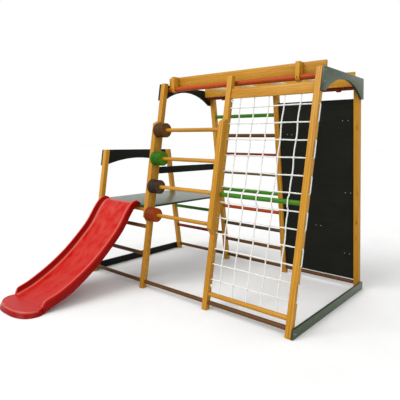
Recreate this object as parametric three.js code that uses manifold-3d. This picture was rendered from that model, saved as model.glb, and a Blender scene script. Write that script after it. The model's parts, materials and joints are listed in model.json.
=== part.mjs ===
// Indoor climbing frame for toddlers, with a plastic slide.
// Four A-shaped frames of square posts stand in a row along X, one bay apart. The first is a low tower that
// carries the platform and the slide. The next three are tall and carry an abacus, a ladder wall, a rope net,
// a chalk board and a row of monkey bars. Millimetres, +Z up, the slide leaves towards -Y.
import * as THREE from "three";
import { mergeVertices } from "three/addons/utils/BufferGeometryUtils.js";
import Module from "manifold-3d";

const wasm = await Module();
wasm.setup();

// ---- driving dimensions ----
const GAP = 0.3; // clearance between touching pieces
const BAY = 600; // spacing of the A-frames
const FRAME_X = [-BAY, 0, BAY, 2 * BAY];
const POST = 38; // square section of a post
const HALF = POST / 2;
const FOOT_Y = 508; // post centre at floor level, from the middle of the A
const LEAN = 0.163; // how far a post leans in for each millimetre of height
const TALL = 1468; // height of the tall posts
const TOWER = 985; // height of the tower posts
const BOARD = 15; // thickness of the painted boards
const SOCKET = 16; // depth of the blind hole that a rung sits in

const RUNG_R = 14;
const RUNG_SIDES = 10;
const BASE_Z = 48;
const LADDER_PITCH = 151.5;
const LADDER_RUNGS = 8;
const TOWER_PITCH = 196;
const CLIMB_BAR_Z = 730;

const PLATFORM_TOP = 593;
const PLATFORM_X = [-600, -10];
const PLATFORM_RAIL_R = 15;

const BEAM_Y = 205; // outer face of a top beam, from the middle
const BEAM_T = 20;
const BEAM_Z = { front: [1425, 1513], back: [1409, 1497] };
const HANG_BAR_Y = 231;
const HANG_BAR_Z = { front: 1426, back: 1408 };
const HANG_BAR_R = 16.5;
const MONKEY_R = 14;
const MONKEY_Z = 1453;
const MONKEY_X = [220, 475, 730, 985];
const BRACKET_X = { front: [64, 1050], back: [150, 1095] };
const BRACKET_W = 26;

const ROPE_R = 4.5;
const ROPE_SIDES = 4;
const ROPE_HOLE_R = 6;
const NET_ROWS = 12;
const NET_TOP_ROW = 1268;
const NET_ROW_PITCH = 97.5;
const NET_COLUMNS = 5;
const NET_FIRST_COLUMN = 693;
const NET_COLUMN_PITCH = 102.5;
const NET_RAIL_TOP_Z = [1326, 1388];
const NET_RAIL_BOTTOM_Z = 102;
const NET_RAIL_T = 22;

const CHALK_Z = [72, 1342];
const CHALK_T = 12;

const CHEEK_Z = [478, 1202]; // where a cheek meets the post
const CHEEK_OUTER_Z = [522, 1184]; // the same, on its outer face
const ABACUS_Z = [1134, 937, 740, 543];
const ROD_R = 13;
const DISC_R = 50.5;
const DISC_BORE_R = 14;
const DISC_PITCH = 13.25;
const DISCS = 7;
const DISC_SIDES = 16;

// ---- colours ----
const PAINT = {
  wood: [0xc8882f, 0.55],
  base: [0x5e3c22, 0.6],
  green: [0x3f7d2a, 0.5],
  brown: [0x6b4630, 0.55],
  red: [0x8c2a1c, 0.5],
  olive: [0x6f5a2c, 0.55],
  orange: [0xc9501f, 0.45],
  grey: [0x5c4c40, 0.55],
  board: [0x566660, 0.5],
  chalk: [0x1e201c, 0.8],
  rope: [0xe8e8dc, 0.9],
  plastic: [0xd93a32, 0.35],
};
function finish(name) {
  const [color, roughness] = PAINT[name];
  return new THREE.MeshStandardMaterial({ color, roughness });
}

const frame = new THREE.Group();
function add(name, geometry, paint) {
  const mesh = new THREE.Mesh(geometry, finish(paint));
  mesh.name = name;
  frame.add(mesh);
}

// ---- solids: joining and cutting ----
function solid(geometry) {
  const bare = geometry.clone();
  bare.deleteAttribute("normal");
  bare.deleteAttribute("uv");
  const merged = mergeVertices(bare, 1e-4);
  const mesh = new wasm.Mesh({
    numProp: 3,
    vertProperties: merged.attributes.position.array,
    triVerts: new Uint32Array(merged.index.array),
  });
  return new wasm.Manifold(mesh);
}

function geometryOf(body) {
  const mesh = body.getMesh();
  const geometry = new THREE.BufferGeometry();
  geometry.setAttribute("position", new THREE.BufferAttribute(mesh.vertProperties, 3));
  geometry.setIndex(new THREE.BufferAttribute(mesh.triVerts, 1));
  geometry.computeVertexNormals();
  return geometry;
}

const joined = (geometries) => geometries.map(solid).reduce((sum, part) => sum.add(part));
const cut = (body, cutters) => cutters.reduce((left, cutter) => left.subtract(cutter), body);

// ---- simple shapes ----
const centreY = (z) => FOOT_Y - LEAN * z; // post centre at height z
const LEAN_SECANT = Math.hypot(1, LEAN);
const POST_Y = HALF * LEAN_SECANT; // half a post's level section along Y

// A plate whose outline is drawn in the Y-Z plane, and which runs from x0 to x1.
function plateX(outline, x0, x1, curveSegments = 24) {
  const drawn = Array.isArray(outline);
  const shape = drawn ? new THREE.Shape(outline.map(([y, z]) => new THREE.Vector2(y, z))) : outline;
  const geometry = new THREE.ExtrudeGeometry(shape, { depth: x1 - x0, bevelEnabled: false, curveSegments });
  const [x, y, z] = [new THREE.Vector3(1, 0, 0), new THREE.Vector3(0, 1, 0), new THREE.Vector3(0, 0, 1)];
  geometry.applyMatrix4(new THREE.Matrix4().makeBasis(y, z, x));
  return geometry.translate(x0, 0, 0);
}

function block(x0, x1, y0, y1, z0, z1) {
  const geometry = new THREE.BoxGeometry(x1 - x0, y1 - y0, z1 - z0);
  return geometry.translate((x0 + x1) / 2, (y0 + y1) / 2, (z0 + z1) / 2);
}

// A round bar between two points.
function bar(from, to, radius, sides = RUNG_SIDES) {
  const a = new THREE.Vector3(...from);
  const b = new THREE.Vector3(...to);
  const along = b.clone().sub(a);
  const geometry = new THREE.CylinderGeometry(radius, radius, along.length(), sides);
  const turn = new THREE.Quaternion().setFromUnitVectors(new THREE.Vector3(0, 1, 0), along.normalize());
  return geometry.applyQuaternion(turn).translate(...a.add(b).divideScalar(2).toArray());
}

// ---- rungs and rails that end in blind holes in two posts ----
const rungs = [];
function rung(name, bay, side, z, paint, radius = RUNG_R) {
  const ends = [FRAME_X[bay] + HALF - SOCKET, FRAME_X[bay + 1] - HALF + SOCKET];
  const y = side * centreY(z);
  rungs.push({ name, paint, ends, y, z, radius, side });
}

const FRONT = -1;
const BACK = 1;
for (let bay = 0; bay < 3; bay++) {
  rung(`base_bar_front_${bay + 1}`, bay, FRONT, BASE_Z, "base");
  rung(`base_bar_back_${bay + 1}`, bay, BACK, BASE_Z, "base");
}
["brown", "base"].forEach((paint, i) =>
  rung(`tower_rung_front_${i + 1}`, 0, FRONT, BASE_Z + TOWER_PITCH * (2 - i), paint));
["green", "red"].forEach((paint, i) =>
  rung(`tower_rung_back_${i + 1}`, 0, BACK, BASE_Z + TOWER_PITCH * (2 - i), paint));
const PLATFORM_RAIL_Z = PLATFORM_TOP - BOARD - PLATFORM_RAIL_R - GAP;
rung("platform_rail_front", 0, FRONT, PLATFORM_RAIL_Z, "wood", PLATFORM_RAIL_R);
rung("platform_rail_back", 0, BACK, PLATFORM_RAIL_Z, "wood", PLATFORM_RAIL_R);
["green", "brown", "red", "olive", "green", "orange", "grey", "brown"].forEach((paint, i) =>
  rung(`ladder_rung_${i + 1}`, 1, BACK, BASE_Z + LADDER_PITCH * (LADDER_RUNGS - i), paint));
rung("climbing_bar", 2, FRONT, CLIMB_BAR_Z, "green");
rung("net_rail_bottom", 2, FRONT, NET_RAIL_BOTTOM_Z, "wood", 15);

const rungSolid = ({ ends, y, z, radius }, extra = 0) =>
  bar([ends[0] - extra, y, z], [ends[1] + extra, y, z], radius + extra);

// ---- the rope net, laced to and fro through two posts ----
const netZ = (row) => NET_TOP_ROW - NET_ROW_PITCH * row;
const NET_LOOP = HALF + GAP + ROPE_R; // rope centre where it runs down a post's side
const NET_SIDES_X = [FRAME_X[2] - NET_LOOP, FRAME_X[3] + NET_LOOP];
const NET_START_X = FRAME_X[2] - HALF + 4; // the tied ends stay inside the post
const onFront = (x, z) => [x, -centreY(z), z];

function netRow(row, radius, sides) {
  const tied = row === 0 || row === NET_ROWS - 1;
  const left = tied ? NET_START_X : NET_SIDES_X[0] - ROPE_R;
  return bar(onFront(left, netZ(row)), onFront(NET_SIDES_X[1] + ROPE_R, netZ(row)), radius, sides);
}

function netLoop(row) {
  const x = NET_SIDES_X[row % 2 === 0 ? 1 : 0];
  return bar(onFront(x, netZ(row) + ROPE_R), onFront(x, netZ(row + 1) - ROPE_R), ROPE_R, ROPE_SIDES);
}

// A column hangs straight from the top rail to the bottom rail, except where it passes in front of the
// climbing bar.
const COLUMN_TOP = NET_RAIL_TOP_Z[0] + 18;
const COLUMN_END = NET_RAIL_BOTTOM_Z - 6;
const OVER_BAR = RUNG_R + ROPE_R + 2 * GAP;
const columnHole = (x) =>
  bar(onFront(x, COLUMN_TOP + GAP), onFront(x, COLUMN_END - GAP), ROPE_R + GAP, ROPE_SIDES);

function netColumn(x) {
  const path = [[COLUMN_TOP, 0], [CLIMB_BAR_Z + 50, 0], [CLIMB_BAR_Z + 16, OVER_BAR],
    [CLIMB_BAR_Z - 16, OVER_BAR], [CLIMB_BAR_Z - 50, 0], [COLUMN_END, 0]];
  const points = path.map(([z, forward]) => [x, -centreY(z) - forward, z]);
  return points.slice(1).map((point, i) => bar(points[i], point, ROPE_R, ROPE_SIDES));
}

const netParts = [];
for (let row = 0; row < NET_ROWS; row++) {
  netParts.push(netRow(row, ROPE_R, ROPE_SIDES));
  if (row < NET_ROWS - 1) netParts.push(netLoop(row));
}
const columnsX = [];
for (let column = 0; column < NET_COLUMNS; column++)
  columnsX.push(NET_FIRST_COLUMN + NET_COLUMN_PITCH * column);
columnsX.forEach((x) => netParts.push(...netColumn(x)));
add("rope_net", geometryOf(joined(netParts)), "rope");
const columnCutters = columnsX.map((x) => solid(columnHole(x)));

// ---- posts, with their blind holes and the net's rope holes ----
function postOutline(side, height) {
  const edge = (z, offset) => [side * (centreY(z) + offset), z];
  const outline = [edge(0, -POST_Y), edge(0, POST_Y), edge(height, POST_Y), edge(height, -POST_Y)];
  return side > 0 ? outline : outline.reverse();
}

function post(name, index, side) {
  const height = index === 0 ? TOWER : TALL;
  const x = FRAME_X[index];
  const body = solid(plateX(postOutline(side, height), x - HALF, x + HALF));
  const touching = rungs.filter((r) => r.side === side && r.ends.some((end) => Math.abs(end - x) < HALF));
  const cutters = touching.map((r) => solid(rungSolid(r, GAP)));
  if (side === FRONT && index >= 2)
    for (let row = 0; row < NET_ROWS; row++) {
      const z = netZ(row);
      const tied = index === 2 && (row === 0 || row === NET_ROWS - 1);
      const from = tied ? NET_START_X - 1 : x - HALF - 1;
      cutters.push(solid(bar(onFront(from, z), onFront(x + HALF + 1, z), ROPE_HOLE_R, 6)));
    }
  add(name, geometryOf(cut(body, cutters)), "wood");
}
FRAME_X.forEach((_, index) => {
  post(`post_front_${index + 1}`, index, FRONT);
  post(`post_back_${index + 1}`, index, BACK);
});

rungs.forEach((r) => {
  const body = solid(rungSolid(r));
  add(r.name, geometryOf(r.name === "net_rail_bottom" ? cut(body, columnCutters) : body), r.paint);
});

// ---- the net's top rail: a board between two posts, leaning with them ----
function leaning(side, z0, z1, inner, outer) {
  const edge = (z, offset) => [side * (centreY(z) + offset), z];
  const outline = [edge(z0, inner), edge(z0, outer), edge(z1, outer), edge(z1, inner)];
  return side > 0 ? outline : outline.reverse();
}
const clearX = (bay) => [FRAME_X[bay] + HALF + GAP, FRAME_X[bay + 1] - HALF - GAP];
const netRail = plateX(leaning(FRONT, ...NET_RAIL_TOP_Z, -NET_RAIL_T / 2, NET_RAIL_T / 2), ...clearX(2));
add("net_rail_top", geometryOf(cut(solid(netRail), columnCutters)), "wood");

// ---- chalk board ----
add("chalk_board", plateX(leaning(BACK, ...CHALK_Z, -CHALK_T / 2, CHALK_T / 2), ...clearX(2)), "chalk");

// ---- painted end boards on the outside of the A-frames ----
// An arch board spans an A-frame at its top. Its lower edge is an arc between two legs.
function archBoard(name, index, outward, top, crown, legZ, legInner) {
  const outer = (z) => centreY(z) + POST_Y;
  const rise = crown - legZ;
  const radius = (legInner ** 2 + rise ** 2) / (2 * rise);
  const reach = Math.asin(legInner / radius);
  const shape = new THREE.Shape();
  shape.moveTo(-outer(top), top);
  shape.lineTo(-outer(legZ), legZ);
  shape.lineTo(-legInner, legZ);
  shape.absarc(0, crown - radius, radius, Math.PI / 2 + reach, Math.PI / 2 - reach, true);
  shape.lineTo(outer(legZ), legZ);
  shape.lineTo(outer(top), top);
  shape.closePath();
  const near = FRAME_X[index] + outward * (HALF + GAP);
  const far = near + outward * BOARD;
  add(name, plateX(shape, Math.min(near, far), Math.max(near, far)), "board");
}
archBoard("tower_arch_board", 0, -1, TOWER, 912, 857, 345);
archBoard("left_arch_board", 1, -1, TALL - 4, 1429, 1350, 251);
archBoard("right_arch_board", 3, 1, TALL - 4, 1425, 1336, 270);

// A straight board across an A-frame, its ends cut to the slope of the posts.
function crossBoard(name, index, outward, z0, z1, paint) {
  const outer = (z) => centreY(z) + POST_Y;
  const near = FRAME_X[index] + outward * (HALF + GAP);
  const far = near + outward * BOARD;
  const outline = [[-outer(z0), z0], [outer(z0), z0], [outer(z1), z1], [-outer(z1), z1]];
  add(name, plateX(outline, Math.min(near, far), Math.max(near, far)), paint);
}
crossBoard("floor_tie_left", 0, -1, 0, 56, "board");
crossBoard("floor_tie_right", 3, 1, 0, 58, "board");
crossBoard("guard_board", 1, -1, 821, 871, "chalk");

// ---- platform: a board with a notch for each post ----
const deckY = centreY(PLATFORM_TOP) + POST_Y; // flush with the outside of the posts
const notchY = centreY(PLATFORM_TOP) - POST_Y - 2 * GAP;
const [bayX0, bayX1] = clearX(0);
const deckRight = [[bayX1, -deckY], [bayX1, -notchY], [PLATFORM_X[1], -notchY], [PLATFORM_X[1], notchY],
  [bayX1, notchY], [bayX1, deckY]];
const deckLeft = [[bayX0, deckY], [bayX0, notchY], [PLATFORM_X[0], notchY], [PLATFORM_X[0], -notchY],
  [bayX0, -notchY], [bayX0, -deckY]];
const deck = [...deckRight, ...deckLeft];
const deckShape = new THREE.Shape(deck.map(([x, y]) => new THREE.Vector2(x, y)));
const deckBoard = new THREE.ExtrudeGeometry(deckShape, { depth: BOARD, bevelEnabled: false });
add("platform", deckBoard.translate(0, 0, PLATFORM_TOP - BOARD), "board");

// ---- top: two hanging bars, two beams on edge, monkey bars between them, and brackets ----
const beamX = { front: [-19, 1200], back: [-7, 1211] };
const hangX = [FRAME_X[1] - HALF, FRAME_X[3] + HALF];
const monkeyBar = (x, extra = 0) =>
  bar([x, -BEAM_Y + 8 - extra, MONKEY_Z], [x, BEAM_Y - 8 + extra, MONKEY_Z], MONKEY_R + extra);
MONKEY_X.forEach((x, i) => add(`monkey_bar_${i + 1}`, monkeyBar(x), "wood"));
[["front", FRONT, "orange"], ["back", BACK, "red"]].forEach(([word, side, paint]) => {
  const ends = hangX.map((x) => [x, side * HANG_BAR_Y, HANG_BAR_Z[word]]);
  add(`hanging_bar_${word}`, bar(...ends, HANG_BAR_R), paint);
  const faces = [side * (BEAM_Y - BEAM_T), side * BEAM_Y];
  const beam = block(...beamX[word], Math.min(...faces), Math.max(...faces), ...BEAM_Z[word]);
  const holes = MONKEY_X.map((x) => solid(monkeyBar(x, GAP)));
  const brackets = BRACKET_X[word].map((x) => bracket(x, side, HANG_BAR_Z[word], BEAM_Z[word][1]));
  add(`top_beam_${word}`, geometryOf(cut(joined([beam, ...brackets]), holes)), "wood");
});

// A bracket is glued to a beam's outer face. Its round lower end holds the hanging bar.
function bracket(x, side, barZ, top) {
  const round = HANG_BAR_R + 8;
  const back = BEAM_Y - 1;
  const shape = new THREE.Shape();
  shape.moveTo(back, top);
  shape.lineTo(back, barZ - 12);
  shape.lineTo(HANG_BAR_Y - round * 0.6, barZ - round * 0.8);
  shape.absarc(HANG_BAR_Y, barZ, round, Math.PI + Math.atan2(0.8, 0.6), 2 * Math.PI, false);
  shape.lineTo(HANG_BAR_Y + round, top);
  shape.closePath();
  const hole = new THREE.Path().absarc(HANG_BAR_Y, barZ, HANG_BAR_R + 2 * GAP, 0, 2 * Math.PI, true);
  shape.holes.push(hole);
  const plate = plateX(shape, x - BRACKET_W / 2, x + BRACKET_W / 2, 8);
  if (side > 0) return plate;
  return plate.rotateZ(Math.PI).translate(2 * x, 0, 0);
}

// ---- abacus: two cheeks on the front of the posts, four rods, a stack of discs on each ----
const CHEEK_IN = POST_Y + GAP * LEAN_SECANT;
const CHEEK_OUT = CHEEK_IN + POST * LEAN_SECANT;
const rodY = (z) => -(centreY(z) + (CHEEK_IN + CHEEK_OUT) / 2);
const rodX = [FRAME_X[1] + HALF - SOCKET, FRAME_X[2] - HALF + SOCKET];
const rod = (z, extra = 0) =>
  bar([rodX[0] - extra, rodY(z), z], [rodX[1] + extra, rodY(z), z], ROD_R + extra, 12);
[1, 2].forEach((index) => {
  const edge = (z, offset) => [-(centreY(z) + offset), z];
  const outline = [edge(CHEEK_Z[0], CHEEK_IN), edge(CHEEK_Z[1], CHEEK_IN),
    edge(CHEEK_OUTER_Z[1], CHEEK_OUT), edge(CHEEK_OUTER_Z[0], CHEEK_OUT)];
  const body = solid(plateX(outline, FRAME_X[index] - HALF, FRAME_X[index] + HALF));
  add(`abacus_cheek_${index}`, geometryOf(cut(body, ABACUS_Z.map((z) => solid(rod(z, GAP))))), "wood");
});
ABACUS_Z.forEach((z, i) => add(`abacus_rod_${i + 1}`, rod(z), "wood"));

// The discs of a rod slide as one stack. Each disc has a rounded rim, so the stack is ribbed.
function discStack(z) {
  const profile = [new THREE.Vector2(DISC_BORE_R, 0)];
  for (let disc = 0; disc < DISCS; disc++) {
    const start = disc * DISC_PITCH;
    profile.push(new THREE.Vector2(DISC_R - 3, start));
    profile.push(new THREE.Vector2(DISC_R, start + DISC_PITCH / 2));
  }
  const end = DISCS * DISC_PITCH;
  profile.push(new THREE.Vector2(DISC_R - 3, end));
  profile.push(new THREE.Vector2(DISC_BORE_R, end));
  profile.push(profile[0].clone());
  const geometry = new THREE.LatheGeometry(profile, DISC_SIDES);
  return geometry.rotateZ(-Math.PI / 2).translate(FRAME_X[1] + HALF + 1, rodY(z), z);
}
["brown", "green", "grey", "orange"].forEach((paint, i) =>
  add(`disc_stack_${i + 1}`, geometryOf(solid(discStack(ABACUS_Z[i]))), paint));

// ---- slide: a trough of moulded plastic, lofted along a curved path ----
const SLIDE_X = -300; // its middle, where it crosses SLIDE_PIVOT_Y
const SLIDE_PIVOT_Y = -830;
const SLIDE_SKEW = 0.04; // it was set down a little askew: its foot is nearer the abacus
const SLIDE_WALL = 22; // thickness of a side wall below its crest
const SKIN = 5;
// Along the path: y, z, height of the side wall above the riding surface, depth of the skirt below it,
// half the width, and how much wider the foot of the skirt is on each side.
const SLIDE_PATH = [
  [-403, 599, 2, 5.4, 190, 0], [-417, 599, 15, 5.4, 195, 0], [-441, 598, 28, 5.4, 198, 0],
  [-470, 584, 37, 8, 199, 0], [-508, 543, 42, 8, 200, 0], [-594, 426, 43, 8, 200, 0],
  [-690, 332, 43, 9, 200, 0], [-815, 228, 43, 11, 200, 0], [-930, 153, 43, 15, 199, 0],
  [-1040, 96, 42, 20, 198, 0], [-1120, 64, 40, 20, 195, 0], [-1196, 44, 37, 27, 190, 0],
  [-1214, 41, 17, 36, 186, 2], [-1222, 39.5, 1, 39.5, 178, 8], [-1232, 38.5, 1, 38.5, 185, 8],
  [-1250, 37.5, 1, 37.5, 189, 9], [-1280, 36.5, 1, 36.5, 182, 14], [-1305, 36, 1, 36, 166, 18],
  [-1325, 36, 1, 36, 141, 28], [-1340, 36, 1, 36, 106, 40], [-1348, 35.5, 1, 35.5, 78, 50],
  [-1353, 34, 1, 34, 60, 55], [-1368, 4, 1, 4, 60, 20],
];
const slideX = (y) => SLIDE_X + SLIDE_SKEW * (SLIDE_PIVOT_Y - y);

// The closed section of the trough, as [across, up] pairs; inset draws the hollow below the skin.
function troughSection([, , wall, skirt, half, flare], inset) {
  const w = half - inset;
  const top = wall - inset;
  const inner = half - SLIDE_WALL + inset * 0.6;
  const foot = inner - Math.min(wall, 12);
  const foundation = inset > 0 ? [w, -skirt - 30] : [w + flare, -skirt];
  const edge = Math.min(5, wall * 0.4);
  const crest = w - 13 * Math.min(1, wall / 20);
  const right = [foundation, [w, top - Math.min(12, wall * 0.4)], [crest, top],
    [Math.min(inner + edge, crest - 1), top], [inner, top - edge], [foot, -inset]];
  return [...right, ...right.map(([x, up]) => [-x, up]).reverse()];
}

function loft(stations, inset) {
  const rings = stations.map((station, i) => {
    const before = stations[Math.max(i - 1, 0)];
    const after = stations[Math.min(i + 1, stations.length - 1)];
    const slope = new THREE.Vector2(after[0] - before[0], after[1] - before[1]).normalize();
    const level = station[2] <= 1;
    const normal = level ? new THREE.Vector2(0, 1) : new THREE.Vector2(slope.y, -slope.x);
    return troughSection(station, inset).map(([x, up]) =>
      [slideX(station[0]) + x, station[0] + normal.x * up, station[1] + normal.y * up]);
  });
  const count = rings[0].length;
  const index = [];
  for (let i = 0; i + 1 < rings.length; i++)
    for (let k = 0; k < count; k++) {
      const [a, b] = [i * count + k, i * count + ((k + 1) % count)];
      index.push(a, b, b + count, a, b + count, a + count);
    }
  const outline = troughSection(stations[0], inset).map(([x, up]) => new THREE.Vector2(x, up));
  const caps = THREE.ShapeUtils.triangulateShape(outline, []);
  const last = (rings.length - 1) * count;
  caps.forEach(([a, b, c]) => index.push(a, c, b, last + a, last + b, last + c));
  const geometry = new THREE.BufferGeometry();
  geometry.setAttribute("position", new THREE.Float32BufferAttribute(rings.flat(2), 3));
  geometry.setIndex(index);
  return geometry;
}
const hollow = SLIDE_PATH.slice(3, -2);
const trough = solid(loft(SLIDE_PATH, 0)).subtract(solid(loft(hollow, SKIN)));
add("slide", geometryOf(trough), "plastic");

// ---- the origin is at the middle of the footprint, on the floor ----
const bounds = new THREE.Box3().setFromObject(frame);
const middle = bounds.getCenter(new THREE.Vector3());
frame.position.set(-middle.x, -middle.y, 0);
frame.name = "climbing_frame";
export default frame;
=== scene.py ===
"""Visual model of a toddlers' indoor climbing frame with a slide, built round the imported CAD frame.

Metres, +Z up. The A-frames stand in a row along X and the slide leaves towards -Y.
"""
import json
import math
import random

import bmesh
import bpy
import numpy as np
from mathutils import Matrix, Vector


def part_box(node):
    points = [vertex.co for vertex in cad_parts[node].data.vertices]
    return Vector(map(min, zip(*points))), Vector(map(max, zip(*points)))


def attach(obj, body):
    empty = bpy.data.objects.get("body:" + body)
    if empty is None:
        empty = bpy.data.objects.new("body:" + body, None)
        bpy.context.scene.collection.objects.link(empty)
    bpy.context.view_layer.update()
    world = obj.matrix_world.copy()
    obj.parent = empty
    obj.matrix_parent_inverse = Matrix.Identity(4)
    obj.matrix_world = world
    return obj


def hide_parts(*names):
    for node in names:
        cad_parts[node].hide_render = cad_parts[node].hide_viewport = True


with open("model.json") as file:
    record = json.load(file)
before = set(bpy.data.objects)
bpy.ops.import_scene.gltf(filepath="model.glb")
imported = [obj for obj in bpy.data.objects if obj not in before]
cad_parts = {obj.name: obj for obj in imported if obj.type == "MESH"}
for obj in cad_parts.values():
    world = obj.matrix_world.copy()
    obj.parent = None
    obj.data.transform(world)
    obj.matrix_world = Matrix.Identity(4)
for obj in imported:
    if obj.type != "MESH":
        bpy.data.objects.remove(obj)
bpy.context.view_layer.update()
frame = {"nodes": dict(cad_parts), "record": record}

MM = 0.001
X, Y, Z = Vector((1, 0, 0)), Vector((0, 1, 0)), Vector((0, 0, 1))
SLOT_OF = {part["node"]: part["material_slot"] for part in frame["record"]["subparts"]}

# ---- camera
CAMERA_PLACE = (1.9159, -2.0047, 1.0606)
CAMERA_YAW, CAMERA_TILT, CAMERA_ROLL = 39.475, -8.644, 0.557  # degrees


def link(thing):
    bpy.context.scene.collection.objects.link(thing)


def add_camera():
    data = bpy.data.cameras.new("camera")
    data.lens = 37.12
    data.sensor_width = 36
    data.shift_x, data.shift_y = -0.027, 0.0101
    camera = bpy.data.objects.new("camera", data)
    turn = Matrix.Rotation(math.radians(CAMERA_YAW), 4, "Z")
    turn @= Matrix.Rotation(math.radians(90 + CAMERA_TILT), 4, "X")
    turn @= Matrix.Rotation(math.radians(CAMERA_ROLL), 4, "Z")
    camera.matrix_world = Matrix.Translation(CAMERA_PLACE) @ turn
    link(camera)
    bpy.context.scene.camera = camera


add_camera()


# ---- places from the CAD frame
def middle(node):
    low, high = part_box(node)
    return (low + high) / 2


MID_Y = middle("floor_tie_right").y
_low_bar, _high_bar = middle("base_bar_front_3"), middle("climbing_bar")
LEAN = (_high_bar.y - _low_bar.y) / (_high_bar.z - _low_bar.z)
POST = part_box("post_front_1")[1].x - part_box("post_front_1")[0].x
POST_HALF = POST / 2
POST_HALF_Y = POST_HALF * math.hypot(1, LEAN)  # half of a post's level section
FRONT, BACK = -1, 1


def clamp(value):
    return min(1.0, max(0.0, value))


def reach(z):
    """Distance of a post's centre from the middle of the A-frames, at height z."""
    return MID_Y - _low_bar.y - LEAN * (z - _low_bar.z)


def leaning_y(side, z, out=0.0):
    """Y at height z on a plane through the posts' centres, or that far outside it."""
    return MID_Y + side * (reach(z) + out)


def leaning_strip(side, low_z, high_z, half):
    """The outline of a strip that leans with the posts, from low_z to high_z."""
    corners = (low_z, -half), (low_z, half), (high_z, half), (high_z, -half)
    return [(leaning_y(side, z, out), z) for z, out in corners]


# ---- materials
class Shader:
    """Builds one material, node by node."""

    def __init__(self, name):
        self.material = bpy.data.materials.new(name)
        self.material.use_nodes = True
        self.tree = self.material.node_tree
        self.tree.nodes.clear()
        self.bsdf = self.node("ShaderNodeBsdfPrincipled")
        output = self.node("ShaderNodeOutputMaterial")
        self.tree.links.new(self.bsdf.outputs["BSDF"], output.inputs["Surface"])

    def node(self, kind, inputs=None, **settings):
        made = self.tree.nodes.new(kind)
        for key, value in settings.items():
            setattr(made, key, value)
        for key, value in (inputs or {}).items():
            self.plug(made.inputs[key], value)
        return made

    def plug(self, socket, value):
        if isinstance(value, bpy.types.NodeSocket):
            self.tree.links.new(value, socket)
        else:
            socket.default_value = value

    def surface(self, **inputs):
        for key, value in inputs.items():
            self.plug(self.bsdf.inputs[key.replace("_", " ").title().replace("Ior", "IOR")], value)

    def attribute(self, name, output="Fac"):
        return self.node("ShaderNodeAttribute", attribute_name=name).outputs[output]

    def stretched(self, vector, scale):
        inputs = {0: vector, 1: scale}
        return self.node("ShaderNodeVectorMath", inputs, operation="MULTIPLY").outputs[0]

    def noise(self, vector, scale=1.0, detail=2.0, low=0.3, high=0.7):
        inputs = {"Vector": vector, "Scale": scale, "Detail": detail}
        return self.spread(self.node("ShaderNodeTexNoise", inputs).outputs["Fac"], low, high)

    def spread(self, value, low, high, to_low=0.0, to_high=1.0):
        """Stretches low..high to to_low..to_high, and clamps."""
        inputs = {"Value": value, "From Min": low, "From Max": high, "To Min": to_low, "To Max": to_high}
        return self.node("ShaderNodeMapRange", inputs).outputs["Result"]

    def math(self, operation, a, b):
        return self.node("ShaderNodeMath", {0: a, 1: b}, operation=operation).outputs[0]

    def times(self, a, b):
        return self.math("MULTIPLY", a, b)

    def plus(self, a, b):
        return self.math("ADD", a, b)

    def mix(self, factor, a, b):
        return self.node("ShaderNodeMix", {0: factor, 6: a, 7: b}, data_type="RGBA").outputs[2]

    def bump(self, height, distance):
        return self.node("ShaderNodeBump", {"Height": height, "Distance": distance}).outputs["Normal"]


SHOWN_TO_ALBEDO = 0.52  # the set is lit to about twice white, so a surface shows at about twice its albedo


def rgba(code, gain=1.0):
    """The albedo that shows as this display colour under the set's lights."""
    gain *= SHOWN_TO_ALBEDO
    parts = [int(code[i : i + 2], 16) / 255 for i in (0, 2, 4)]
    return tuple(gain * (p / 12.92 if p < 0.04045 else ((p + 0.055) / 1.055) ** 2.4) for p in parts) + (1.0,)


def wood_figure(shader):
    """Growth rings, fibres and slow changes of tone, each 0..1, along the grain attribute."""
    grain = shader.attribute("grain", "Vector")
    wave = {"Vector": shader.stretched(grain, (0.05, 1, 1)), "Scale": 62.0, "Distortion": 4.0,
            "Detail": 3.0, "Detail Scale": 0.8}
    rings = shader.node("ShaderNodeTexWave", wave, wave_type="RINGS", rings_direction="X").outputs["Fac"]
    fibres = shader.noise(shader.stretched(grain, (11, 620, 620)), detail=3)
    tone = shader.noise(shader.stretched(grain, (0.9, 6, 6)), detail=2)
    return grain, rings, fibres, tone


GLINT_LOT = 2.0  # lot is a timber's tone, 0 to 1, darker to paler; this higher value paints the monkey bars pale, a painted highlight for their lit undersides


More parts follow.
